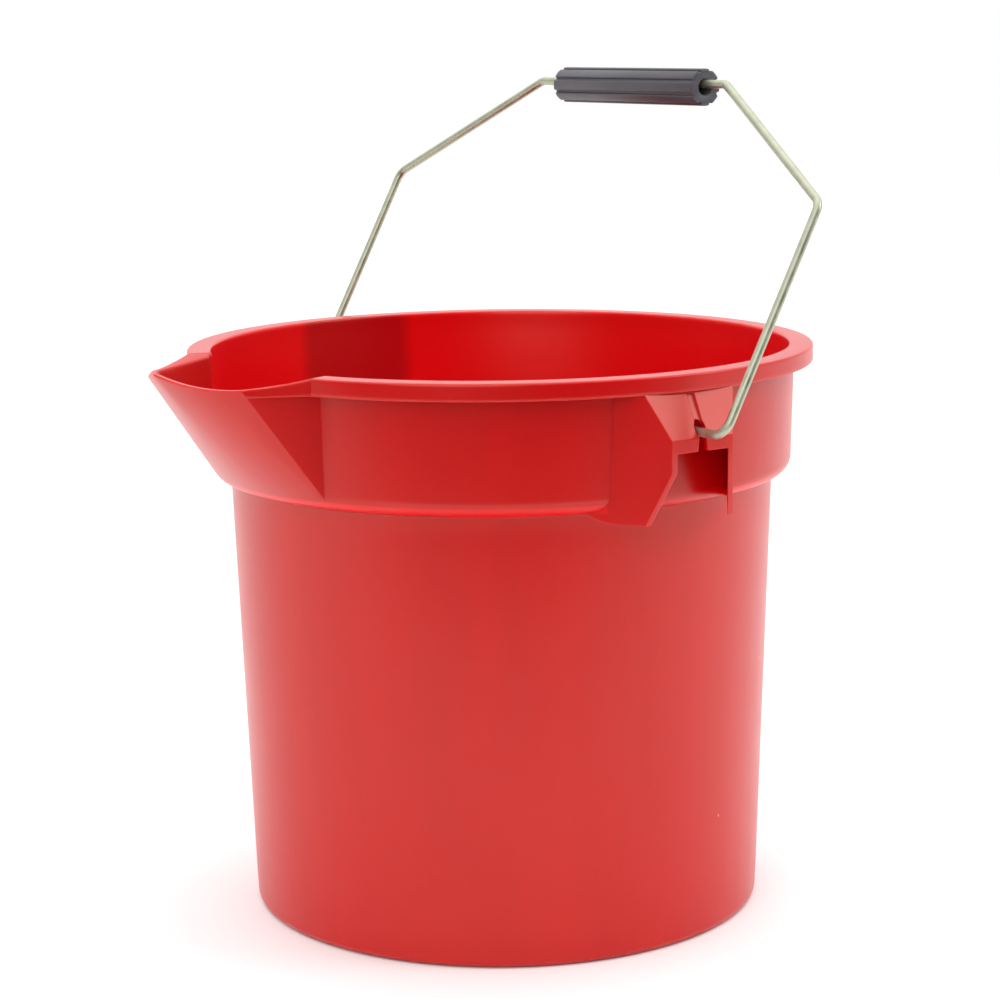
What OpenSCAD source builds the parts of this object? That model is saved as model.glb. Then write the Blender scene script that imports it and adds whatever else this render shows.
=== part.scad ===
// Pouring bucket with a swinging wire bail and a loose sleeve grip.
// Origin: centre of the foot ring, on the ground. +Z up, the spout points along +X,
// the two bail ears stand on +Y and -Y.

/* [Bucket] */
// Outer diameter of the rim
rim_d = 304.8; // [250:0.2:370]
// Height from the ground to the top of the rim
height = 276; // [225:1:335]
// Wall thickness of the moulding
wall = 2.4; // [1.8:0.1:3]
// Thickness of the floor
floor_t = 2.8; // [2:0.1:4]
// How much smaller the body's radius is at the ground than under the step
body_taper = 7.4; // [3:0.1:12]
// Radius of the outer edge between the body and the ground
base_edge_r = 4; // [3:0.5:6]
// Radius of the inside corner between the body and the floor
floor_corner_r = 8; // [4:0.5:12]
// Height of the foot ring under the floor
foot_h = 3; // [1.5:0.5:5]
// Width of the foot ring
foot_w = 7; // [5:0.5:12]

/* [Band and rim] */
// Height of the wide upper band, with the rim on it
band_h = 62; // [50:1:75]
// How far the band stands out from the body
band_step = 9.2; // [8:0.2:12]
// How much smaller the band's radius is at its lower end than under the rim
band_taper = 1.3; // [0.5:0.1:2]
// Radius of the band's lower edge
band_edge_r = 7.6; // [4:0.2:7.8]
// How far the rim lip stands out from the band
lip_reach = 9.1; // [8:0.1:12]
// Height of the rim lip
lip_h = 8.1; // [6:0.1:11]
// Thickness of the lip's roof and skirt
lip_wall = 2.2; // [1.6:0.1:2.8]
// Radius of the lip's top edges
lip_edge_r = 1; // [0.4:0.1:1.2]

/* [Spout] */
// Half width of the spout's mouth where it leaves the band
mouth_y = 53.7; // [49:0.1:59]
// How many degrees outside the mouth the rim's lip stops
lip_end_turn = 0.8; // [0.4:0.1:2]
// How far the spout's tip stands out from the band
spout_reach = 45.2; // [38:0.2:56]
// How far the corners between side walls and nose stand out from the band
corner_reach = 21.7; // [16:0.1:24]
// Half width across those two corners
corner_y = 44.5; // [40:0.5:48]
// How much each side of the nose bulges out of a straight line
nose_bulge = 3.4; // [1:0.1:6]
// Depth of the dip in the spout's edge on each side of its tip
spout_dip = 5; // [2:0.2:6]
// Direction in which the two dips run, from the spout's centre line
dip_angle = 20; // [10:1:25]
// Where the nose leaves the band's lower edge, down from the edge's widest point
nose_start_angle = 35; // [20:1:45]

/* [Ears] */
// How far the ear's front stands out from the band, at its lip
ear_reach = 17; // [13:0.2:22]
// Half width of the ear where its side plates meet the band
ear_root_y = 33.6; // [29:0.2:40]
// Half width of the ear across its front
ear_front_y = 17.1; // [13:0.2:22]
// How far the top of the sloping front stands behind the front lip
ear_front_lean = 9.6; // [6:0.2:12]
// Height of the ear's front lip
ear_lip_h = 6; // [4:0.2:8]
// How far the side plates reach below the front lip before they slope back
ear_cheek_h = 8.7; // [5:0.2:12]
// How far the side plates reach below the step
ear_tail = 4.2; // [2:0.2:8]
// How far their lower corner stands behind the front
ear_tail_back = 9.5; // [6:0.5:12]
// Length of the curve that ends the side plates at the body
ear_tail_run = 12; // [8:0.5:15]
// Wall thickness of the ears
ear_wall = 2.3; // [1.8:0.1:2.6]

/* [Wire and its holes] */
// Diameter of the bail wire
wire_d = 4.1; // [3.2:0.1:5]
// Depth of the bail's pivot below the rim's top
pivot_drop = 25.4; // [24:0.2:28]
// How much wider the ear hole is than the wire
hole_slack = 1.9; // [1:0.1:3]
// How far the hole is stretched upwards
hole_stretch = 1.6; // [0:0.1:2.4]
// Gap between the resting wire and the bottom of its hole
rest_gap = 0.3; // [0.2:0.05:0.5]
// How much narrower than the wire the snap-in slot is at the hole
slot_pinch = 0.8; // [0.3:0.1:1.2]
// How much the snap-in slot widens towards its mouth
slot_flare = 2.2; // [1:0.1:4]
// Width of the groove that runs up from the hole
groove_w = 4.4; // [3:0.1:5]
// Depth of that groove
groove_depth = 0.9; // [0.4:0.1:1.2]

/* [Bail] */
// Gap between the ear's front and the inner side of a leg
leg_gap = 13.1; // [6:0.1:20]
// Height of the shoulder bends above the pivot
shoulder_h = 112.5; // [95:0.5:135]
// How far the straight top reaches past the rim when the bail lies down
top_reach = 16.9; // [12:0.1:50]
// Half the length of the straight top, out to its corner
top_half = 75.9; // [70:0.1:92]
// Radius of the bends, at the wire's middle
bend_r = 7.5; // [6:0.5:10]
// Diameter of the head on each wire end
head_d = 7.4; // [6.6:0.1:8.5]
// Thickness of the head
head_t = 2; // [1.5:0.1:3]
// Gap between the band and the head
head_gap = 4; // [2:0.5:6]
// How far the bail leans back from upright
bail_lean = 28.3; // [0:0.1:60]

/* [Grip] */
// Length of the grip
grip_len = 114.3; // [95:0.1:138]
// Outer diameter of the grip over its ribs
grip_d = 17.8; // [15:0.1:22]
// Diameter of the grip's bore
bore_d = 7.8; // [6:0.1:9]
// Number of ribs
ribs = 8; // [6:1:12]
// Width of the groove between two ribs
rib_gap = 1.5; // [1:0.1:2]
// Depth of those grooves
rib_depth = 1.1; // [0.6:0.1:1.6]
// Distance of the grip's middle from the bail's middle
grip_shift = 3; // [-8:0.5:8]

/* [Hidden] */
$fn = 96;
eps = 0.01;
big = 2 * (rim_d + height);      // larger than the whole object, for cutting tools
past = 1;                        // how far a cutting tool reaches past what it cuts
clear_reach = 1.4;               // reach of the tool that clears the spout's mouth, in rim radii
groove_stop = 0.8;               // how far below the lip the groove in the ear ends
arc_steps = 8;                   // points on a rounded edge
nose_steps = 12;                 // points on each side of the spout's nose

rim_r = rim_d / 2;
band_top_r = rim_r - lip_reach;
band_low_r = band_top_r - band_taper;
shoulder_r = band_low_r - band_step;
base_r = shoulder_r - body_taper;
step_z = height - band_h;
lip_z = height - lip_h;
floor_z = foot_h + floor_t;
foot_in_r = base_r - foot_w;
under_roof_z = height - lip_wall;
skirt_in_r = rim_r - lip_wall;
// the body's radius at a height, outside
function body_r(z) = base_r + body_taper * z / step_z;
// the band's radius at a height, outside
function band_r(z) = band_low_r + band_taper * (z - step_z) / (lip_z - step_z);

// points on an arc about [x, y] with radius r, from angle a to angle b
function arc(x, y, r, a, b, n = arc_steps) =
    [for (i = [0 : n]) let (t = a + (b - a) * i / n) [x + r * cos(t), y + r * sin(t)]];

// points on an arc from p to q that bulges by s to the right of that line
function bulge(p, q, s, n) =
    let (d = norm(q - p),
         r = (d * d / 4 + s * s) / (2 * s),
         m = (p + q) / 2,
         out = [q.y - p.y, p.x - q.x] / d,
         c = m - out * (r - s),
         a = atan2(p.y - c.y, p.x - c.x),
         sweep = 2 * asin(d / 2 / r))
    [for (i = [0 : n]) let (t = a + sweep * i / n) c + r * [cos(t), sin(t)]];

// ---- bucket: solid of revolution ----

// outline of everything outside, from the ground up to the top edge of the rim
outer_outline = concat(
    [[0, 0]],
    arc(base_r - base_edge_r, base_edge_r, base_edge_r, -90, 0),
    [[shoulder_r, step_z]],
    arc(band_low_r - band_edge_r, step_z + band_edge_r, band_edge_r, -90, 0),
    [[band_top_r, lip_z]],
    [[rim_r, lip_z]],
    arc(rim_r - lip_edge_r, height - lip_edge_r, lip_edge_r, 0, 90),
    [[0, height]]
);

// outline of the hollow inside, from the floor up past the rim
inner_band_r = band_top_r - wall;
inner_outline = concat(
    [[0, floor_z]],
    arc(body_r(floor_z) - wall - floor_corner_r, floor_z + floor_corner_r, floor_corner_r, -90, 0),
    arc(shoulder_r, step_z, wall, 180, 90, arc_steps / 2),
    arc(band_low_r - band_edge_r, step_z + band_edge_r, band_edge_r - wall, -90, 0),
    arc(inner_band_r + lip_edge_r, height - lip_edge_r, lip_edge_r, 180, 90),
    [[inner_band_r + lip_edge_r, height + lip_h]],
    [[0, height + lip_h]]
);

module lathe(outline) {
    rotate_extrude($fn = 180) polygon(outline);
}

// ring-shaped hollow under the lip's roof, open downwards
module lip_channel() {
    rotate_extrude($fn = 180) polygon([
        [band_top_r, lip_z - lip_h],
        [skirt_in_r, lip_z - lip_h],
        [skirt_in_r, under_roof_z],
        [band_top_r, under_roof_z]
    ]);
}

// shallow hollow under the floor, inside the foot ring
module foot_hollow() {
    translate([0, 0, -foot_h]) cylinder(r = foot_in_r, h = 2 * foot_h, $fn = 180);
}

// ---- bucket: spout ----

function polar(r, a) = [r * cos(a), r * sin(a)];

spout_tip = [band_top_r + spout_reach, 0];
spout_corner = [band_top_r + corner_reach, corner_y];
spout_root = [sqrt(band_top_r * band_top_r - mouth_y * mouth_y), mouth_y];
lip_end_angle = asin(mouth_y / band_top_r) + lip_end_turn;
lip_end = polar(rim_r, lip_end_angle);
lip_end_in = polar(band_top_r - wall / 2, lip_end_angle);
spout_foot_r = band_low_r - band_edge_r * (1 - cos(nose_start_angle));
spout_foot_z = step_z + band_edge_r * (1 - sin(nose_start_angle));
// the nose slopes, so its wall measured level is thicker than the wall measured square to it
nose_slope = atan2(spout_reach, height - spout_foot_z);
level_wall = wall / cos(nose_slope);
// the crease between side wall and nose runs from the foot through the lip's corner up to the edge
foot_corner = [sqrt(spout_foot_r * spout_foot_r - mouth_y * mouth_y), mouth_y];
edge_corner = foot_corner + (spout_corner - foot_corner) * (height - spout_foot_z) / (lip_z - spout_foot_z);

function after_first(points) = [for (i = [1 : len(points) - 1]) points[i]];

// plan of the spout at rim height, drawn in by a side wall and a nose wall
function spout_plan(side, nose) =
    let (root = spout_root - [0, side],
         corner = edge_corner - [nose / 2, side],
         tip = spout_tip - [nose, 0])
    concat(
        [[0, -root.y]],
        bulge([corner.x, -corner.y], tip, nose_bulge, nose_steps),
        after_first(bulge(tip, corner, nose_bulge, nose_steps)),
        [[0, root.y]]
    );

// the spout grows out of the band's lower edge to that plan, from foot_z up to top
module spout_form(side, nose, foot_z, top) {
    hull() {
        translate([0, 0, top - eps]) linear_extrude(eps) intersection() {
            polygon(spout_plan(side, nose));
            translate([spout_root.x - level_wall, -big / 2]) square(big);
        }
        translate([0, 0, foot_z]) linear_extrude(eps) intersection() {
            circle(r = spout_foot_r - nose);
            translate([spout_root.x - level_wall, side - spout_root.y])
                square([big, 2 * (spout_root.y - side)]);
        }
    }
}

// solid wedge that carries the lip from its end to the spout's corner
module spout_lip() {
    translate([0, 0, lip_z]) linear_extrude(lip_h)
        polygon([lip_end_in, lip_end, spout_corner, spout_corner - [0, wall], spout_root - [0, wall]]);
}

// clears the rim's own lip from the spout's mouth
module lip_gap() {
    translate([0, 0, lip_z - eps]) linear_extrude(lip_h + past) difference() {
        polygon(clear_reach * [[0, 0], lip_end, [rim_r, 0], [lip_end.x, -lip_end.y]]);
        circle(r = band_top_r, $fn = 180);
    }
}

// smooth dip in the edge, from the lip's end to the spout's tip
module spout_edge_dip() {
    run = spout_tip - lip_end;
    half = abs(run.x * sin(dip_angle) - run.y * cos(dip_angle)) / 2;
    dip_r = (half * half + spout_dip * spout_dip) / (2 * spout_dip);
    translate([lip_end.x, lip_end.y, height - spout_dip + dip_r]) rotate([0, 0, dip_angle])
        translate([-rim_r / 3, -half, 0]) rotate([0, 90, 0]) cylinder(r = dip_r, h = rim_r, $fn = 360);
}

module both_sides() {
    children();
    mirror([0, 1, 0]) children();
}

// ---- bucket: ears ----

ear_front = band_top_r + ear_reach;
pivot_z = height - pivot_drop;
hole_r = (wire_d + hole_slack) / 2;
hole_z = pivot_z - wire_d / 2 - rest_gap + hole_r;
ear_lip_top_z = hole_z - hole_r;
ear_lip_z = ear_lip_top_z - ear_lip_h;
ear_cheek_z = ear_lip_z - ear_cheek_h;
ear_tail_z = step_z - ear_tail;
ear_root_x = sqrt(band_top_r * band_top_r - ear_root_y * ear_root_y);
plate_dir = [ear_front - ear_root_x, ear_front_y - ear_root_y];
plate_turn = atan2(-plate_dir.y, plate_dir.x);
front_top = ear_front - ear_front_lean;
// how far the sloping front moves out for each millimetre that it comes down
front_slope = ear_front_lean / (lip_z - ear_lip_top_z);
roof_x = front_top - front_slope * (under_roof_z - lip_z);
// the ear's wall measured level through the sloping front
sloped_wall = ear_wall * sqrt(1 + front_slope * front_slope);
// where the side plates' outer faces meet the body under the step
plate_tan = tan(plate_turn);
plate_lever = ear_root_x - ear_root_y * plate_tan;
plate_in = (plate_lever - sqrt(plate_lever * plate_lever
    - (1 + plate_tan * plate_tan) * (band_top_r * band_top_r - shoulder_r * shoulder_r)))
    / (1 + plate_tan * plate_tan);
tail_root_x = ear_root_x - plate_in;
tail_r = (ear_tail_run * ear_tail_run + ear_tail * ear_tail) / (2 * ear_tail);

// plan of the ear: side plates that close in towards the front, drawn in by w
function ear_plan(w) =
    let (k = w / cos(plate_turn),
         back = tail_root_x - band_step,
         spread = ear_root_y + (ear_root_x - back) * plate_tan)
    [[back, k - spread], [ear_front + past, k - ear_front_y + past * plate_tan],
     [ear_front + past, ear_front_y - past * plate_tan - k], [back, spread - k]];

// side view of the ear: sloping front, short front lip, cheeks and tail
ear_side = concat(
    [[tail_root_x - band_step, under_roof_z + eps]],
    [[tail_root_x - band_step, step_z]],
    arc(tail_root_x + ear_tail_run, ear_tail_z + tail_r, tail_r, -90 - asin(ear_tail_run / tail_r), -90),
    [[ear_front - ear_tail_back, ear_tail_z]],
    [[ear_front, ear_cheek_z]],
    [[ear_front, ear_lip_top_z]],
    [[front_top, lip_z]],
    [[roof_x, under_roof_z + eps]]
);

// side view of the space behind the front and below the front lip
ear_side_hollow = [
    [0, under_roof_z + 2 * eps],
    [0, 0],
    [big, 0],
    [big, ear_lip_z],
    [ear_front - ear_wall, ear_lip_z],
    [ear_front - ear_wall, ear_lip_top_z - ear_wall / 2],
    [front_top - sloped_wall, lip_z],
    [roof_x - sloped_wall, under_roof_z + 2 * eps]
];

module ear_prism(side_view) {
    translate([0, big / 2, 0]) rotate([90, 0, 0]) linear_extrude(big) polygon(side_view);
}

module ear_plates() {
    intersection() {
        ear_prism(ear_side);
        linear_extrude(big) polygon(ear_plan(0));
    }
}

module ear_hollow() {
    difference() {
        intersection() {
            ear_prism(ear_side_hollow);
            linear_extrude(big) polygon(ear_plan(ear_wall));
        }
        lathe(wall_middle_outline);
    }
}

// hole for the wire, stretched upwards, with the groove above it and the snap-in slot below it
module wire_hole() {
    depth = ear_reach - past;
    translate([ear_front - depth, 0, 0]) rotate([90, 0, 90]) {
        translate([0, hole_z]) cylinder(r = hole_r, h = big);
        translate([0, hole_z + hole_stretch]) cylinder(r = hole_r, h = big);
        translate([-hole_r, hole_z, 0]) cube([2 * hole_r, hole_stretch, big]);
        linear_extrude(big) polygon([
            [-(wire_d - slot_pinch) / 2, hole_z],
            [-(wire_d - slot_pinch + slot_flare) / 2, ear_lip_z - past],
            [(wire_d - slot_pinch + slot_flare) / 2, ear_lip_z - past],
            [(wire_d - slot_pinch) / 2, hole_z]
        ]);
    }
    // the groove follows the sloping front
    translate([0, groove_w / 2, 0]) rotate([90, 0, 0]) linear_extrude(groove_w) polygon([
        [ear_front - front_slope * (hole_z - ear_lip_top_z) - groove_depth, hole_z],
        [ear_front + past, hole_z],
        [ear_front + past, lip_z - groove_stop],
        [front_top - groove_depth, lip_z - groove_stop]
    ]);
}

// outline in the middle of the body's and the band's wall, where the ear's hollow ends
wall_middle_outline = [
    [0, 0],
    [base_r - wall / 2, 0],
    [shoulder_r - wall / 2, step_z + wall / 2],
    [band_low_r - band_edge_r, step_z + wall / 2],
    [band_low_r - wall / 2, step_z + band_edge_r],
    [band_top_r - wall / 2, height],
    [0, height]
];

module bucket() {
    color("#c8141c") difference() {
        union() {
            difference() {
                lathe(outer_outline);
                difference() {
                    lip_channel();
                    for (side = [90, -90]) rotate([0, 0, side]) ear_plates();
                }
                lip_gap();
            }
            spout_form(0, 0, spout_foot_z, height);
            both_sides() spout_lip();
            for (side = [90, -90]) rotate([0, 0, side]) difference() {
                ear_plates();
                ear_hollow();
                wire_hole();
            }
        }
        for (side = [90, -90]) rotate([0, 0, side]) intersection() {
            ear_hollow();
            lip_channel();
        }
        lathe(inner_outline);
        foot_hollow();
        spout_form(wall, level_wall, spout_foot_z + wall / 2, height + past);
        both_sides() spout_edge_dip();
    }
}

// ---- bail ----

leg_y = ear_front + leg_gap + wire_d / 2;
head_y = band_r(pivot_z) + head_gap;
top_h = rim_r + top_reach;
// corners of half the bail, in its own plane: along the ear line, and up from the pivot
bail_corners = [[0, top_h], [top_half, top_h], [leg_y, shoulder_h], [leg_y, 0], [head_y, 0]];
last_corner = len(bail_corners) - 1;
// how far the straight wire runs on into the start of each bend
bend_lap = 0.3;
// bending draws the wire a little thinner
bend_thinning = 0.04;

// unit vector in the bail's plane
function unit(a) = [cos(a), sin(a)];
function heading(i) = let (d = bail_corners[i + 1] - bail_corners[i]) atan2(d.y, d.x);
function turn(i) = let (t = heading(i - 1) - heading(i)) t < 0 ? t + 360 : t;
// length of straight wire that the bend at corner i takes from each side
function setback(i) = (i == 0 || i == last_corner) ? 0 : bend_r * tan(turn(i) / 2);

// straight wire from corner i to the next one
module straight(i) {
    lap_before = bend_lap;
    lap_after = i == last_corner - 1 ? 0 : bend_lap;
    start = bail_corners[i] + (setback(i) - lap_before) * unit(heading(i));
    run = norm(bail_corners[i + 1] - bail_corners[i]) - setback(i) - setback(i + 1);
    translate([0, start.x, start.y]) rotate([heading(i) - 90, 0, 0])
        cylinder(d = wire_d, h = run + lap_before + lap_after);
}

// bend at corner i, about the centre inside the turn
module bend(i) {
    centre = bail_corners[i] - setback(i) * unit(heading(i - 1)) + bend_r * unit(heading(i - 1) - 90);
    translate([0, centre.x, centre.y]) rotate(120, [1, 1, 1]) rotate([0, 0, heading(i - 1) - turn(i) + 90])
        rotate_extrude(angle = turn(i)) translate([bend_r, 0]) circle(d = wire_d - bend_thinning);
}

module in_bail_frame() {
    translate([0, 0, pivot_z]) rotate([0, -bail_lean, 0]) children();
}

module bail_wire() {
    color("#b9bdae") in_bail_frame() {
        translate([0, 0, top_h]) rotate([90, 0, 0])
            cylinder(d = wire_d, h = 2 * (top_half - setback(1) + bend_lap), center = true);
        both_sides() {
            for (i = [1 : last_corner - 1]) straight(i);
            for (i = [1 : last_corner - 1]) bend(i);
            translate([0, head_y, 0]) rotate([90, 0, 0]) cylinder(d = head_d, h = head_t);
        }
    }
}

// ---- grip ----

grip_drop = bore_d / 2 - wire_d / 2 - rest_gap;

module grip_section() {
    difference() {
        circle(d = grip_d);
        for (i = [0 : ribs - 1]) rotate(360 * (i + 0.5) / ribs)
            translate([grip_d / 2 - rib_depth, -rib_gap / 2]) square([grip_d, rib_gap]);
        circle(d = bore_d);
    }
}

// the grip hangs on the wire, so it sits lower than the wire by the slack in its bore
module grip() {
    color("#5f5d63")
        translate([-top_h * sin(bail_lean), grip_shift, pivot_z + top_h * cos(bail_lean) - grip_drop])
            rotate([90, 0, 0]) linear_extrude(grip_len, center = true) grip_section();
}

bucket();
bail_wire();
grip();
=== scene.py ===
"""Looks of a pouring wash bucket: red moulded polyethylene, a zinc-plated wire bail and a loose grip."""

import logging
import math
from dataclasses import dataclass, field
from enum import Enum

import bmesh
import bpy
import numpy as np
from mathutils import Matrix, Vector


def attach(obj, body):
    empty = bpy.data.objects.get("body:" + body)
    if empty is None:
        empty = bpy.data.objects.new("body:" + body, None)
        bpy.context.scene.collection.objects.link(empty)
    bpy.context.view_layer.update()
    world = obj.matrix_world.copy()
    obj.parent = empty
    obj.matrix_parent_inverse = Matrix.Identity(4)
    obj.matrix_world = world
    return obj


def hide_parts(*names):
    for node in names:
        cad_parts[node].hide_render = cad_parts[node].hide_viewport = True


MM = 0.001
LOG = logging.getLogger("wash_bucket")

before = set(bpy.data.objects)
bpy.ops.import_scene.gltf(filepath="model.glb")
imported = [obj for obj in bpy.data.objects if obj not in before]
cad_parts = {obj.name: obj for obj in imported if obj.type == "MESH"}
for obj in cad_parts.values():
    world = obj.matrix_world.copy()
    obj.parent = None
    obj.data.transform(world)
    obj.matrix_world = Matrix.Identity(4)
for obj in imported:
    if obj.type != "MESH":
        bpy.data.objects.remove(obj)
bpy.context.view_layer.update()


# ---- small helpers ----


def linear(hex_colour: str) -> tuple[float, float, float, float]:
    """Turn an sRGB hex colour into linear RGBA.

    Args:
        hex_colour: six hex digits, such as "c8141c".

    Returns:
        Linear red, green, blue and an alpha of 1.
    """
    parts = [int(hex_colour[i:i + 2], 16) / 255 for i in (0, 2, 4)]
    red, green, blue = (p / 12.92 if p <= 0.04045 else ((p + 0.055) / 1.055) ** 2.4 for p in parts)
    return red, green, blue, 1.0


def add_node(tree: bpy.types.NodeTree, kind: str, settings: dict | None = None,
             values: dict | None = None, links: dict | None = None) -> bpy.types.Node:
    """Add one node to a tree, with its settings, socket values and links.

    Args:
        tree: the node tree.
        kind: the node's type name.
        settings: attribute name to value.
        values: input socket name or index to its value.
        links: input socket name or index to the output socket that feeds it.

    Returns:
        The new node.
    """
    node = tree.nodes.new(kind)
    for name, value in (settings or {}).items():
        setattr(node, name, value)
    for key, value in (values or {}).items():
        node.inputs[key].default_value = value
    for key, source in (links or {}).items():
        tree.links.new(source, node.inputs[key])
    return node


def new_material(name: str) -> tuple[
        bpy.types.Material, bpy.types.NodeTree, bpy.types.Node, bpy.types.NodeSocket]:
    """Start a material.

    Args:
        name: what the real material is.

    Returns:
        The material, its node tree, its shader and the socket of Object coordinates.
    """
    material = bpy.data.materials.new(name)
    material.use_nodes = True
    tree = material.node_tree
    where = add_node(tree, "ShaderNodeTexCoord").outputs["Object"]
    return material, tree, tree.nodes["Principled BSDF"], where


def new_geometry_tree(name: str, sizes: dict[str, str]) -> bpy.types.NodeTree:
    """Start a geometry node tree that takes and gives a geometry.

    Args:
        name: the tree's name.
        sizes: name of each further input to its socket type.

    Returns:
        The tree, with its sockets and no nodes.
    """
    tree = bpy.data.node_groups.new(name, "GeometryNodeTree")
    tree.interface.new_socket("Geometry", in_out="INPUT", socket_type="NodeSocketGeometry")
    for size, kind in sizes.items():
        tree.interface.new_socket(size, in_out="INPUT", socket_type=kind)
    tree.interface.new_socket("Geometry", in_out="OUTPUT", socket_type="NodeSocketGeometry")
    return tree


def run_geometry_tree(piece: bpy.types.Object, tree: bpy.types.NodeTree, sizes: dict[str, float]) -> None:
    """Replace an object's mesh by what a geometry node tree makes of it.

    Args:
        piece: the object.
        tree: the node tree.
        sizes: name of each of its inputs to its value.
    """
    change = piece.modifiers.new(tree.name, "NODES")
    change.node_group = tree
    for item in tree.interface.items_tree:
        if item.in_out == "INPUT" and item.name in sizes:
            change[item.identifier] = sizes[item.name]
    baked(piece)


def mesh_object(name: str, points: np.ndarray | list, faces: list) -> bpy.types.Object:
    """Make a mesh object at the origin from points in millimetres.

    Args:
        name: the object's name.
        points: rows of x, y and z in millimetres.
        faces: lists of point numbers.

    Returns:
        The linked object, its mesh in metres.
    """
    mesh = bpy.data.meshes.new(name)
    mesh.from_pydata([tuple(float(c) * MM for c in p) for p in points], [], faces)
    mesh.validate()
    made = bpy.data.objects.new(name, mesh)
    bpy.context.scene.collection.objects.link(made)
    return made


def tidy_mesh(piece: bpy.types.Object, weld_mm: float, sharp_deg: float) -> None:
    """Weld doubles, point the faces outwards and shade smooth up to an angle.

    Args:
        piece: the mesh object.
        weld_mm: points closer than this are merged.
        sharp_deg: edges that turn by more than this stay sharp.
    """
    work = bmesh.new()
    work.from_mesh(piece.data)
    bmesh.ops.remove_doubles(work, verts=work.verts, dist=weld_mm * MM)
    bmesh.ops.dissolve_degenerate(work, edges=work.edges, dist=weld_mm * MM / 4)
    bmesh.ops.recalc_face_normals(work, faces=work.faces)
    work.to_mesh(piece.data)
    work.free()
    piece.data.shade_smooth()
    piece.data.set_sharp_from_angle(angle=math.radians(sharp_deg))


def baked(piece: bpy.types.Object) -> bpy.types.Object:
    """Replace an object by a plain mesh of what its modifiers make.

    Args:
        piece: the object with live modifiers.

    Returns:
        The same object with a plain mesh and no modifiers.
    """
    view = bpy.context.evaluated_depsgraph_get()
    view.update()
    mesh = bpy.data.meshes.new_from_object(piece.evaluated_get(view), depsgraph=view)
    piece.modifiers.clear()
    piece.data = mesh
    return piece


def prism(name: str, outline: list, low: float, high: float, place: Matrix) -> bpy.types.Object:
    """Make a straight prism.

    Args:
        name: the object's name.
        outline: its x, y corners in millimetres.
        low: its lower end along z.
        high: its upper end along z.
        place: turns it from that frame into the wanted one, in millimetres.

    Returns:
        The prism as a closed mesh object.
    """
    n = len(outline)
    points = [place @ Vector((x, y, z)) for z in (low, high) for x, y in outline]
    faces = [list(range(n))[::-1], list(range(n, 2 * n))]
    faces += [[i, (i + 1) % n, n + (i + 1) % n, n + i] for i in range(n)]
    made = mesh_object(name, points, faces)
    tidy_mesh(made, 0.001, 30)
    return made


def turned_faces(corners: int, steps: int) -> list[list[int]]:
    """Faces of a turned solid whose points are one outline after another, once round its axis.

    Args:
        corners: how many points each outline has.
        steps: how many outlines there are.

    Returns:
        Lists of point numbers.
    """
    faces = []
    for i in range(steps):
        here, there = i * corners, (i + 1) % steps * corners
        faces += [[here + k, there + k, there + k + 1, here + k + 1] for k in range(corners - 1)]
    return faces


class Cut(Enum):
    """How one solid works on another."""

    TAKE_AWAY = "DIFFERENCE"
    KEEP_COMMON = "INTERSECT"


def carve(piece: bpy.types.Object, tool: bpy.types.Object, how: Cut) -> bpy.types.Object:
    """Work on a solid with another solid, and remove that tool.

    Args:
        piece: the solid that stays.
        tool: the solid that works on it.
        how: the kind of cut.

    Returns:
        The changed piece.
    """
    change = piece.modifiers.new("carve", "BOOLEAN")
    change.operation = how.value
    change.solver = "EXACT"
    change.object = tool
    baked(piece)
    bpy.data.objects.remove(tool)
    return piece


def arc(x: float, y: float, r: float, start: float, end: float, steps: int) -> list[tuple[float, float]]:
    """Points on an arc, in degrees from start to end."""
    turns = [math.radians(start + (end - start) * i / steps) for i in range(steps + 1)]
    return [(x + r * math.cos(a), y + r * math.sin(a)) for a in turns]


# ---- finishes ----


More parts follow.
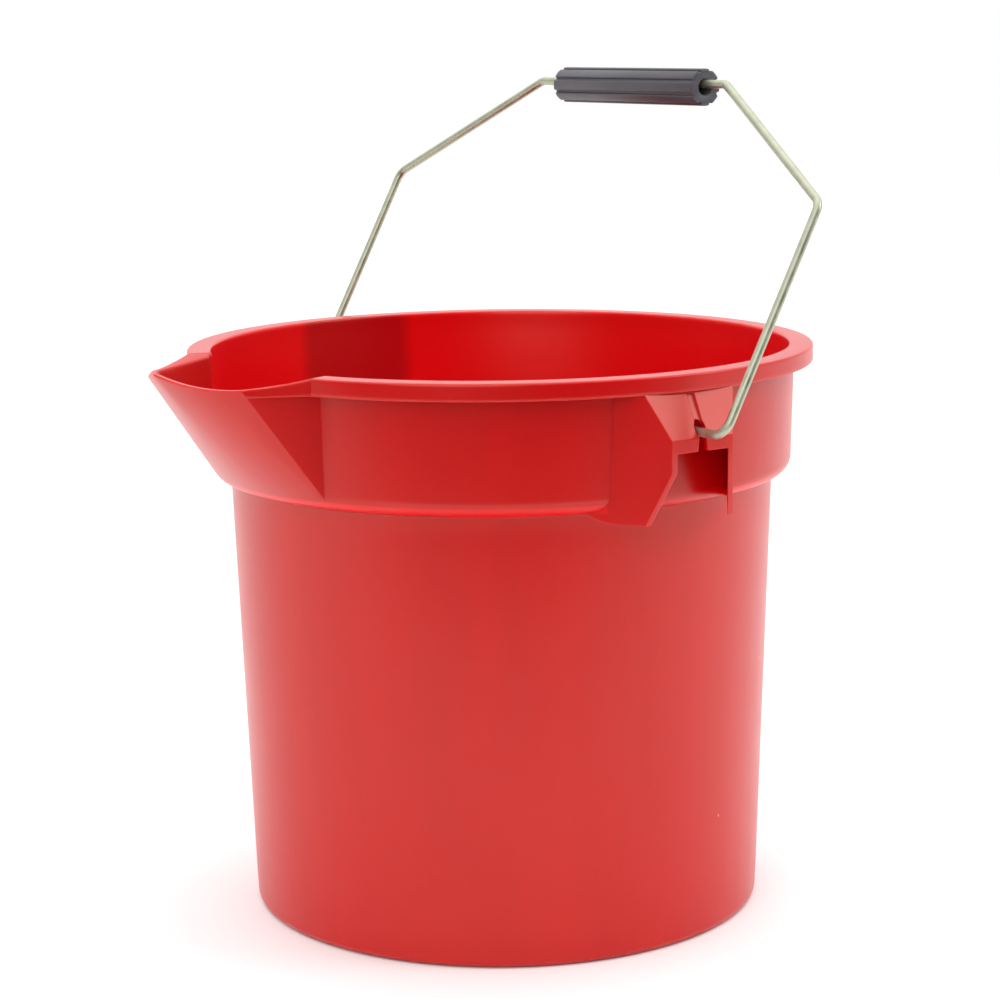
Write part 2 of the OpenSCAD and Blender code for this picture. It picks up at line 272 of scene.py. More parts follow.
@dataclass(frozen=True)
class MouldedPolyethylene:
    """High-density polyethylene, injection moulded: waxy soft gloss, and light glows through it."""

    colour: str = "cb0008"
    streak: str = "c30007"
    # painted shade: the darker colour painted inside the band behind each ear
    painted_ear_shade: str = "a0000a"
    # painted light: the brighter colour painted on the inside of the band
    lit_through: str = "e2000c"
    nick: str = "f08a80"
    # the band's inside is within this radius and above this height
    inner_r_mm: float = 141.4
    band_foot_mm: float = 214.5
    # the painted shade behind an ear fades out between these distances from its middle, and in between these
    # heights
    ear_half_mm: tuple[float, float] = (27.0, 35.0)
    ear_foot_mm: tuple[float, float] = (212.0, 222.0)
    # how strongly the painted shade behind an ear darkens the band's inside
    painted_shade_strength: float = 0.6
    # radius of a nick in cells, and the share of cells that have one
    nick_size: float = 0.028
    nick_share: float = 0.3
    glow_depth_mm: float = 3.0
    ripple_mm: float = 9.0
    grain_mm: float = 1.6
    speck_mm: float = 21.0

    def build(self) -> bpy.types.Material:
        """Build the material and return it."""
        material, tree, shader, where = new_material("moulded_polyethylene")
        # the pigment is streaked a little where the melt flowed up the wall
        flow = add_node(tree, "ShaderNodeMapping", values={"Scale": (30, 30, 6)}, links={"Vector": where})
        streak = add_node(tree, "ShaderNodeTexNoise", values={"Scale": 1.0, "Detail": 5.0, "Roughness": 0.6},
                          links={"Vector": flow.outputs[0]})
        tint = add_node(tree, "ShaderNodeValToRGB", links={"Fac": streak.outputs["Fac"]})
        tint.color_ramp.elements[0].position = 0.3
        tint.color_ramp.elements[0].color = linear(self.streak)
        tint.color_ramp.elements[1].position = 0.7
        tint.color_ramp.elements[1].color = linear(self.colour)
        # painted light: the inside of the band is painted brighter, standing in for light that comes through
        # the thin wall;
        # where an ear stands outside the wall, painted shade darkens the inside of the band, standing in for
        # the light that the ear's extra plastic keeps out
        at = add_node(tree, "ShaderNodeSeparateXYZ", links={0: where})
        flat = add_node(tree, "ShaderNodeVectorMath", {"operation": "MULTIPLY"}, {1: (1, 1, 0)}, {0: where})
        out = add_node(tree, "ShaderNodeVectorMath", {"operation": "LENGTH"}, links={0: flat.outputs[0]})
        inside = add_node(tree, "ShaderNodeMath", {"operation": "LESS_THAN"}, {1: self.inner_r_mm * MM},
                          {0: out.outputs["Value"]})
        upper = add_node(tree, "ShaderNodeMath", {"operation": "GREATER_THAN"}, {1: self.band_foot_mm * MM},
                         {0: at.outputs["Z"]})
        lit = add_node(tree, "ShaderNodeMath", {"operation": "MULTIPLY"},
                       links={0: inside.outputs[0], 1: upper.outputs[0]})
        glow = add_node(tree, "ShaderNodeMix", {"data_type": "RGBA"}, {7: linear(self.lit_through)},
                        {0: lit.outputs[0], 6: tint.outputs[0]})
        # painted shade inside the band behind each ear, where the ear's plastic keeps the light out
        aside = add_node(tree, "ShaderNodeMath", {"operation": "ABSOLUTE"}, links={0: at.outputs["X"]})
        behind = add_node(tree, "ShaderNodeMapRange",
                          values={1: self.ear_half_mm[0] * MM, 2: self.ear_half_mm[1] * MM, 3: 1.0, 4: 0.0},
                          links={0: aside.outputs[0]})
        above = add_node(tree, "ShaderNodeMapRange",
                         values={1: self.ear_foot_mm[0] * MM, 2: self.ear_foot_mm[1] * MM, 3: 0.0, 4: 1.0},
                         links={0: at.outputs["Z"]})
        painted_ear_shade = add_node(tree, "ShaderNodeMath", {"operation": "MULTIPLY"},
                          links={0: behind.outputs[0], 1: above.outputs[0]})
        painted_ear_shade = add_node(tree, "ShaderNodeMath", {"operation": "MULTIPLY"},
                          links={0: painted_ear_shade.outputs[0], 1: inside.outputs[0]})
        faint = add_node(tree, "ShaderNodeMath", {"operation": "MULTIPLY"}, {1: self.painted_shade_strength},
                         {0: painted_ear_shade.outputs[0]})
        solid = add_node(tree, "ShaderNodeMix", {"data_type": "RGBA"}, {7: linear(self.painted_ear_shade)},
                         {0: faint.outputs[0], 6: glow.outputs[2]})
        # pale specks of dust and nicks, a couple of centimetres apart
        cells = add_node(tree, "ShaderNodeTexVoronoi",
                         values={"Scale": 1 / (self.speck_mm * MM), "Randomness": 1.0},
                         links={"Vector": where})
        speck = add_node(tree, "ShaderNodeMath", {"operation": "LESS_THAN"}, {1: self.nick_size},
                         {0: cells.outputs["Distance"]})
        some = add_node(tree, "ShaderNodeSeparateColor", links={0: cells.outputs["Color"]})
        rare = add_node(tree, "ShaderNodeMath", {"operation": "LESS_THAN"}, {1: self.nick_share},
                        {0: some.outputs[0]})
        shown = add_node(tree, "ShaderNodeMath", {"operation": "MULTIPLY"},
                         links={0: speck.outputs[0], 1: rare.outputs[0]})
        colour = add_node(tree, "ShaderNodeMix", {"data_type": "RGBA"}, {7: linear(self.nick)},
                          {0: shown.outputs[0], 6: solid.outputs[2]})
        tree.links.new(colour.outputs[2], shader.inputs["Base Color"])
        # handling dulls the gloss in soft patches and in fine upright drag lines from the mould
        drag = add_node(tree, "ShaderNodeMapping", values={"Scale": (260, 260, 7)}, links={"Vector": where})
        lines = add_node(tree, "ShaderNodeTexNoise", values={"Scale": 1.0, "Detail": 2.0},
                         links={"Vector": drag.outputs[0]})
        patches = add_node(tree, "ShaderNodeTexNoise", values={"Scale": 22.0, "Detail": 4.0},
                           links={"Vector": where})
        wear = add_node(tree, "ShaderNodeMath", {"operation": "MULTIPLY_ADD"}, {1: 0.12},
                        {0: lines.outputs["Fac"], 2: patches.outputs["Fac"]})
        gloss = add_node(tree, "ShaderNodeMapRange", values={1: 0.3, 2: 0.85, 3: 0.28, 4: 0.33},
                         links={0: wear.outputs[0]})
        tree.links.new(gloss.outputs[0], shader.inputs["Roughness"])
        # sink ripples and a fine spark-eroded grain
        ripple = add_node(tree, "ShaderNodeTexNoise",
                          values={"Scale": 1 / (self.ripple_mm * MM), "Detail": 1.0}, links={"Vector": where})
        grain = add_node(tree, "ShaderNodeTexNoise",
                         values={"Scale": 1 / (self.grain_mm * MM), "Detail": 3.0}, links={"Vector": where})
        edge = add_node(tree, "ShaderNodeBevel", {"samples": 8}, {"Radius": 0.7 * MM})
        pulled = add_node(tree, "ShaderNodeBump", values={"Strength": 0.3, "Distance": 0.05 * MM},
                          links={"Height": lines.outputs["Fac"], "Normal": edge.outputs[0]})
        low = add_node(tree, "ShaderNodeBump", values={"Strength": 0.25, "Distance": 0.12 * MM},
                       links={"Height": ripple.outputs["Fac"], "Normal": pulled.outputs[0]})
        high = add_node(tree, "ShaderNodeBump", values={"Strength": 0.1, "Distance": 0.01 * MM},
                        links={"Height": grain.outputs["Fac"], "Normal": low.outputs[0]})
        tree.links.new(high.outputs[0], shader.inputs["Normal"])
        shader.inputs["IOR"].default_value = 1.52
        shader.inputs["Specular Tint"].default_value = (1.0, 0.94, 0.78, 1.0)
        shader.inputs["Subsurface Weight"].default_value = 0.7
        shader.inputs["Subsurface Radius"].default_value = (1.0, 0.08, 0.05)
        shader.inputs["Subsurface Scale"].default_value = self.glow_depth_mm * MM
        return material


@dataclass(frozen=True)
class ZincPlatedWire:
    """Drawn steel wire with bright zinc plating: silvery with a straw tint and faint draw lines."""

    colour: str = "bcbea9"
    dull: str = "abad97"
    patch_mm: float = 6.0

    def build(self) -> bpy.types.Material:
        """Build the material and return it."""
        material, tree, shader, where = new_material("zinc_plated_steel_wire")
        cloud = add_node(tree, "ShaderNodeTexNoise",
                         values={"Scale": 1 / (self.patch_mm * MM), "Detail": 4.0}, links={"Vector": where})
        tint = add_node(tree, "ShaderNodeValToRGB", links={"Fac": cloud.outputs["Fac"]})
        tint.color_ramp.elements[0].position = 0.35
        tint.color_ramp.elements[0].color = linear(self.dull)
        tint.color_ramp.elements[1].position = 0.65
        tint.color_ramp.elements[1].color = linear(self.colour)
        tree.links.new(tint.outputs[0], shader.inputs["Base Color"])
        rough = add_node(tree, "ShaderNodeMapRange", values={1: 0.3, 2: 0.7, 3: 0.38, 4: 0.52},
                         links={0: cloud.outputs["Fac"]})
        tree.links.new(rough.outputs[0], shader.inputs["Roughness"])
        # fine marks from drawing and plating
        lines = add_node(tree, "ShaderNodeTexNoise", values={"Scale": 1 / (0.35 * MM), "Detail": 2.0},
                         links={"Vector": where})
        bump = add_node(tree, "ShaderNodeBump", values={"Strength": 0.25, "Distance": 0.02 * MM},
                        links={"Height": lines.outputs["Fac"]})
        tree.links.new(bump.outputs[0], shader.inputs["Normal"])
        shader.inputs["Metallic"].default_value = 1.0
        return material


@dataclass(frozen=True)
class MouldedGripPlastic:
    """Dark grey polypropylene, moulded with a fine grain: satin, scuffed pale along the ribs."""

    colour: str = "55535a"
    scuffed: str = "4a484f"
    grain_mm: float = 0.5

    def build(self) -> bpy.types.Material:
        """Build the material and return it."""
        material, tree, shader, where = new_material("moulded_grey_polypropylene")
        along = add_node(tree, "ShaderNodeMapping", values={"Scale": (220, 30, 220)}, links={"Vector": where})
        scuff = add_node(tree, "ShaderNodeTexNoise", values={"Scale": 1.0, "Detail": 5.0, "Roughness": 0.65},
                         links={"Vector": along.outputs[0]})
        tint = add_node(tree, "ShaderNodeValToRGB", links={"Fac": scuff.outputs["Fac"]})
        tint.color_ramp.elements[0].position = 0.35
        tint.color_ramp.elements[0].color = linear(self.scuffed)
        tint.color_ramp.elements[1].position = 0.72
        tint.color_ramp.elements[1].color = linear(self.colour)
        tree.links.new(tint.outputs[0], shader.inputs["Base Color"])
        grain = add_node(tree, "ShaderNodeTexNoise",
                         values={"Scale": 1 / (self.grain_mm * MM), "Detail": 2.0}, links={"Vector": where})
        bump = add_node(tree, "ShaderNodeBump", values={"Strength": 0.4, "Distance": 0.03 * MM},
                        links={"Height": grain.outputs["Fac"]})
        tree.links.new(bump.outputs[0], shader.inputs["Normal"])
        shader.inputs["Roughness"].default_value = 0.46
        return material


@dataclass(frozen=True)
class SweepPaper:
    """Matt white background paper with a faint fibre."""

    colour: str = "fbfbfb"

    def build(self) -> bpy.types.Material:
        """Build the material and return it."""
        material, tree, shader, where = new_material("matt_background_paper")
        fibre = add_node(tree, "ShaderNodeTexNoise", values={"Scale": 300.0, "Detail": 2.0},
                         links={"Vector": where})
        bump = add_node(tree, "ShaderNodeBump", values={"Strength": 0.05, "Distance": 0.05 * MM},
                        links={"Height": fibre.outputs["Fac"]})
        tree.links.new(bump.outputs[0], shader.inputs["Normal"])
        shader.inputs["Base Color"].default_value = linear(self.colour)
        shader.inputs["Roughness"].default_value = 0.9
        shader.inputs["Specular IOR Level"].default_value = 0.1
        return material


# ---- the bucket ----


@dataclass
class SpoutSurface:
    """One side of the spout's wall: it grows from an arc at the band's lower edge to a pointed plan."""

    foot_r: float
    foot_z: float
    top_z: float
    root: tuple[float, float]
    corner: tuple[float, float]
    tip_x: float
    bulge: float

    def __post_init__(self) -> None:
        """Work out the two plans by the direction that each point of them faces."""
        self.facing = np.radians(np.linspace(-89, 89, 713))
        foot_end = math.asin(self.root[1] / self.foot_r)
        on_foot = np.clip(self.facing, -foot_end, foot_end)
        self.foot = np.stack([self.foot_r * np.cos(on_foot), self.foot_r * np.sin(on_foot)], 1)
        corner, tip = np.array(self.corner), np.array([self.tip_x, 0.0])
        chord = tip - corner
        length = float(np.hypot(*chord))
        r = (length ** 2 / 4 + self.bulge ** 2) / (2 * self.bulge)
        outward = np.array([-chord[1], chord[0]]) / length
        centre = (corner + tip) / 2 - outward * (r - self.bulge)
        at_tip = math.atan2(*(tip - centre)[::-1])
        at_corner = math.atan2(*(corner - centre)[::-1])
        side = np.array(self.root) - corner
        side_facing = math.atan2(-side[0], side[1])
        rows = []
        for a in self.facing:
            b = abs(a)
            if b <= at_tip:
                p = tip
            elif b <= at_corner:
                p = centre + r * np.array([math.cos(b), math.sin(b)])
            elif b <= side_facing:
                p = corner
            else:
                p = np.array(self.root)
            rows.append([p[0], math.copysign(p[1], a)])
        self.top = np.array(rows)

    def share(self, z: float) -> float:
        """How far up the wall a height is, from 0 at the foot to 1 at the top plan."""
        return (z - self.foot_z) / (self.top_z - self.foot_z)

    def radius(self, azimuth: float, z: float) -> float:
        """The wall's distance from the bucket's axis in one direction, or 0 under its foot.

        Args:
            azimuth: the direction, in radians from the spout.
            z: the height.

        Returns:
            The distance in millimetres.
        """
        t = self.share(z)
        if t < 0:
            return 0.0
        section = (1 - t) * self.foot + t * self.top
        return float(np.interp(azimuth, np.arctan2(section[:, 1], section[:, 0]), np.hypot(*section.T)))

    def corner_azimuth(self, z: float) -> float:
        """Direction of the crease between the side facet and the nose at a height.

        Args:
            z: the height.

        Returns:
            The angle in radians.
        """
        t = max(self.share(z), 0.0)
        foot_x = math.sqrt(self.foot_r ** 2 - self.root[1] ** 2)
        x = (1 - t) * foot_x + t * self.corner[0]
        y = (1 - t) * self.root[1] + t * self.corner[1]
        return math.atan2(y, x)


class Column(Enum):
    """Part of the bucket's wall that a column of the mesh runs up."""

    NOSE = "the spout's bulging nose"
    FACET = "the flat side of the spout"
    END = "the end of the round lip"
    ROUND = "the round wall"


@dataclass
class BucketBody:
    """The moulded bucket without its ears. Sizes are millimetres."""

    finish: MouldedPolyethylene
    rim_r: float = 152.4
    height: float = 276.0
    wall: float = 2.4
    floor_z: float = 5.8
    floor_corner_r: float = 8.0
    foot_h: float = 3.0
    foot_in_r: float = 118.4
    base_r: float = 125.4
    base_edge_r: float = 4.0
    shoulder_r: float = 132.8
    step_z: float = 214.0
    band_low_r: float = 142.0
    band_top_r: float = 143.3
    band_edge_r: float = 7.6
    lip_z: float = 267.9
    lip_wall: float = 2.2
    edge_r: float = 1.0
    soft_r: float = 0.8
    hair_r: float = 0.5
    mouth_y: float = 53.7
    lip_end_turn: float = 0.8
    tip: float = 188.5
    corner: tuple[float, float] = (165.0, 44.5)
    nose_bulge: float = 3.4
    nose_start_deg: float = 35.0
    dip: float = 5.0
    dip_deg: float = 20.0
    nose_columns: int = 22
    facet_columns: int = 8
    round_columns: int = 300
    mouth_deg: float = field(init=False)
    lip_end_deg: float = field(init=False)
    outer: SpoutSurface = field(init=False)
    inner: SpoutSurface = field(init=False)

    def __post_init__(self) -> None:
        """Set up the spout's two walls."""
        self.mouth_deg = math.degrees(math.asin(self.mouth_y / self.band_top_r))
        self.lip_end_deg = self.mouth_deg + self.lip_end_turn
        root = (math.sqrt(self.band_top_r ** 2 - self.mouth_y ** 2), self.mouth_y)
        lean = math.radians(self.nose_start_deg)
        foot_r = self.band_low_r - self.band_edge_r * (1 - math.cos(lean))
        foot_z = self.step_z + self.band_edge_r * (1 - math.sin(lean))
        slope = math.atan2(self.tip - self.band_top_r, self.height - foot_z)
        level = self.wall / math.cos(slope)
        # the crease between facet and nose runs from the foot through the lip's corner up to the edge
        foot_x = math.sqrt(foot_r ** 2 - self.mouth_y ** 2)
        rise = (self.height - foot_z) / (self.lip_z - foot_z)
        edge = (foot_x + (self.corner[0] - foot_x) * rise,
                self.mouth_y + (self.corner[1] - self.mouth_y) * rise)
        self.outer = SpoutSurface(foot_r, foot_z, self.height, root, edge, self.tip, self.nose_bulge)
        self.inner = SpoutSurface(foot_r - level, foot_z + self.wall / 2, self.height + 1,
                                  (root[0], root[1] - self.wall),
                                  (edge[0] - level / 2, edge[1] - self.wall),
                                  self.tip - level, self.nose_bulge)

    def band_r(self, z: float) -> float:
        """The band's outer radius at a height.

        Args:
            z: the height.

        Returns:
            The radius in millimetres.
        """
        low = self.step_z + self.band_edge_r
        share = min(max((z - low) / (self.lip_z - low), 0), 1)
        return self.band_low_r + (self.band_top_r - self.band_low_r) * share

    def top_z(self, x: float, y: float) -> float:
        """Height of the top edge over a point: it dips between the lip's end and the spout's tip.

        Args:
            x: the point, towards the spout.
            y: the point, towards the left ear.

        Returns:
            The height in millimetres.
        """
        end = math.radians(self.lip_end_deg)
        ex, ey = self.rim_r * math.cos(end), self.rim_r * math.sin(end)
        turn = math.radians(self.dip_deg)
        run = (self.tip - ex) * math.sin(turn) + ey * math.cos(turn)
        half = run / 2
        r = (half * half + self.dip * self.dip) / (2 * self.dip)
        across = (x - ex) * math.sin(turn) - (abs(y) - ey) * math.cos(turn)
        off = across - half
        return self.height - max(self.dip - r + math.sqrt(max(r * r - off * off, 0)), 0) if abs(off) < half \
            else self.height

    def wedge_r(self, azimuth: float) -> float:
        """Distance of the lip's straight run, from the end of the round lip to the spout's corner.

        Args:
            azimuth: the direction, in radians from the spout.

        Returns:
            The distance from the bucket's axis in millimetres.
        """
        end = math.radians(self.lip_end_deg)
        a = np.array([self.rim_r * math.cos(end), self.rim_r * math.sin(end)])
        d = np.array(self.corner) - a
        ray = np.array([math.cos(azimuth), math.sin(azimuth)])
        return float((a[0] * d[1] - a[1] * d[0]) / (ray[0] * d[1] - ray[1] * d[0]))

    def columns(self) -> list[tuple[Column, float]]:
        """All columns of the mesh, once round from the spout's middle.

        Returns:
            For each, its kind and its place: a share of the nose or the facet, or an angle in radians.
        """
        half = [(Column.NOSE, i / self.nose_columns) for i in range(self.nose_columns + 1)]
        half += [(Column.FACET, i / self.facet_columns) for i in range(1, self.facet_columns + 1)]
        end = math.radians(self.lip_end_deg)
        half += [(Column.END, math.radians(self.mouth_deg + 0.4)), (Column.END, end - 0.0003)]
        whole = list(half)
        for i in range(self.round_columns + 1):
            whole.append((Column.ROUND, end + (2 * math.pi - 2 * end) * i / self.round_columns))
        for kind, place in reversed(half[1:]):
            whole.append((kind, -place))
        return whole

    def azimuth(self, kind: Column, place: float, z: float, wall: SpoutSurface) -> float:
        """Direction of a column at a height.

        Args:
            kind: the column's kind.
            place: its place, as columns() gives it.
            z: the height.
            wall: the side of the spout's wall that the column follows.

        Returns:
            The angle in radians.
        """
        if kind in (Column.ROUND, Column.END):
            return place
        mouth = math.radians(self.mouth_deg)
        crease = min(wall.corner_azimuth(max(z, wall.foot_z)), mouth * 0.985)
        share = self.nose_columns / (self.nose_columns + self.facet_columns)
        even = mouth * share
        fade = min(max((wall.foot_z - z) / 60, 0), 1)
        crease += (even - crease) * fade * fade * (3 - 2 * fade)
        size = abs(place)
        turn = crease * size if kind is Column.NOSE else crease + (mouth - crease) * size
        return math.copysign(turn, place)

    def column(self, kind: Column, place: float) -> list[tuple[float, float, float]]:
        """All points of one column, from the middle underneath, over the edge, to the middle of the floor.

        Args:
            kind: the column's kind.
            place: its place, as columns() gives it.

        Returns:
            The points in order, in millimetres.
        """
        rows: list[tuple[float, float, float]] = []
        mouth = kind is not Column.ROUND
        spout = kind in (Column.NOSE, Column.FACET)

        def put(r: float, z: float, wall: SpoutSurface) -> None:
            """Add the column's point at a radius and a height."""
            a = self.azimuth(kind, place, z, wall)
            rows.append((r * math.cos(a), r * math.sin(a), z))

        under = [(0.0, self.foot_h - 0.7), (3.2, self.foot_h - 0.7), (3.6, self.foot_h - 0.1)]
        under += [(4.2, self.foot_h), (40.0, self.foot_h), (80.0, self.foot_h)]
        soft, hair = self.soft_r, self.hair_r
        under += arc(self.foot_in_r - soft, self.foot_h - soft, soft, 90, 0, 3)
        under += arc(self.foot_in_r + hair, hair, hair, 180, 270, 3)
        under += arc(self.base_r - self.base_edge_r, self.base_edge_r, self.base_edge_r, -90, 2, 9)
        under += [(self.base_r + (self.shoulder_r - self.base_r) * z / self.step_z, z)
                  for z in np.linspace(12, self.step_z - 1, 22)]
        under += arc(self.shoulder_r + soft, self.step_z - soft, soft, 175, 90, 3)
        for r, z in under:
            put(r, z, self.outer)
        edge_z = self.step_z + self.band_edge_r
        band = arc(self.band_low_r - self.band_edge_r, edge_z, self.band_edge_r, -90, 0, 14)
        band += [(self.band_r(z), z) for z in np.linspace(edge_z + 2, self.lip_z, 20)]
        for r, z in band:
            a = self.azimuth(kind, place, z, self.outer)
            put(max(r, self.outer.radius(a, z)) if spout else r, z, self.outer)
        roof = self.height - self.lip_wall
        inside = self.rim_r - self.lip_wall
        channel = arc(self.band_top_r + soft, roof - soft, soft, 180, 90, 3)
        channel += arc(inside - soft, roof - soft, soft, 90, 0, 3)
        channel += arc(inside + hair, self.lip_z + hair, hair, 180, 270, 3)
        last = rows[-1]
        for r, z in channel:
            if mouth:
                rows.append(last)
            else:
                put(r, z, self.outer)
        # from here each row is how far in from the outer face it lies, and how far up the lip
        skirt = [(hair, 0.0), (0.3 * hair, 0.3 * hair), (0.0, hair)]
        skirt += [(0.0, h) for h in (2.0, 3.6, 5.2, 6.6)]
        skirt += [(self.edge_r - x, self.height - self.lip_z - self.edge_r + y)
                  for x, y in arc(0, 0, self.edge_r, 0, 90, 4)]
        full = self.height - self.lip_z
        for inset, up in skirt:
            z = self.lip_z + up
            r = self.rim_r
            if mouth:
                a = self.azimuth(kind, place, z, self.outer)
                z = self.lip_z + up * self.lip_share(a, z, full)
                a = self.azimuth(kind, place, z, self.outer)
                r = self.outer.radius(a, z) if spout else 0.0
                if kind is not Column.NOSE:
                    r = max(r, self.wedge_r(abs(a)))
                inset = min(inset, hair) if up == 0.0 and kind is Column.NOSE else inset
                if kind is Column.NOSE and up < 1:
                    inset = 0.0
            put(r - inset, z, self.outer)
        inner_top = self.band_top_r - self.wall
        lean_in = arc(0, 0, self.edge_r, 90, 180, 4)
        for x, y in lean_in:
            z = self.height - self.edge_r + y
            r = inner_top
            a = self.azimuth(kind, place, z, self.inner)
            if mouth:
                r = max(r, self.inner.radius(a, z) if spout else 0.0)
                z = self.top_z(r * math.cos(a), r * math.sin(a)) - self.edge_r + y
                a = self.azimuth(kind, place, z, self.inner)
                r = max(inner_top, self.inner.radius(a, z) if spout else 0.0)
            put(r + self.edge_r + x, z, self.inner)
        start = rows[-1][2]
        edge_z = self.step_z + self.band_edge_r
        for z in np.linspace(start - 1.5, edge_z + 1, 20):
            r = self.band_r(z) - self.wall
            if spout:
                r = max(r, self.inner.radius(self.azimuth(kind, place, z, self.inner), z))
            put(r, z, self.inner)
        turn_r = self.band_edge_r - self.wall
        for r, z in arc(self.band_low_r - self.band_edge_r, edge_z, turn_r, 0, -90, 10):
            if spout:
                r = max(r, self.inner.radius(self.azimuth(kind, place, z, self.inner), z))
            put(r, z, self.inner)
        down = arc(self.shoulder_r, self.step_z, self.wall, 90, 180, 5)
        slope = (self.shoulder_r - self.base_r) / self.step_z
        down += [(self.base_r + slope * z - self.wall, z) for z in np.linspace(self.step_z - 8, 16, 20)]
        corner_r = self.floor_corner_r
        down += arc(self.base_r + slope * self.floor_z - self.wall - corner_r, self.floor_z + corner_r,
                    corner_r, 0, -90, 8)
        down += [(r, self.floor_z) for r in (90.0, 60.0, 30.0, 8.0, 0.0)]
        for r, z in down:
            put(r, z, self.inner)
        return rows

    def lip_share(self, azimuth: float, z: float, full: float) -> float:
        """How much of its full height the edge has over a direction of the spout.

        Args:
            azimuth: the direction, in radians from the spout.
            z: the height at which the wall is met.
            full: the full height of the edge.

        Returns:
            The share, 1 where the edge does not dip.
        """
        r = max(self.outer.radius(azimuth, min(z, self.height)), self.band_top_r)
        r = max(r, self.wedge_r(abs(azimuth))) if abs(azimuth) > self.outer.corner_azimuth(self.height) else r
        return (self.top_z(r * math.cos(azimuth), r * math.sin(azimuth)) - self.lip_z) / full

    def build(self) -> bpy.types.Object:
        """Build the body as one closed mesh of columns and return it."""
        columns = [self.column(kind, place) for kind, place in self.columns()]
        points = [p for column in columns for p in column]
        piece = mesh_object("bucket_body", points, turned_faces(len(columns[0]), len(columns)))
        tidy_mesh(piece, 0.004, 28)
        return piece

    def dress(self, piece: bpy.types.Object) -> None:
        """Give the body its finish and its place in the frame.

        Args:
            piece: the body.
        """
        piece.data.materials.clear()
        piece.data.materials.append(self.finish.build())
        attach(piece, "bucket")
        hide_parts("bucket")


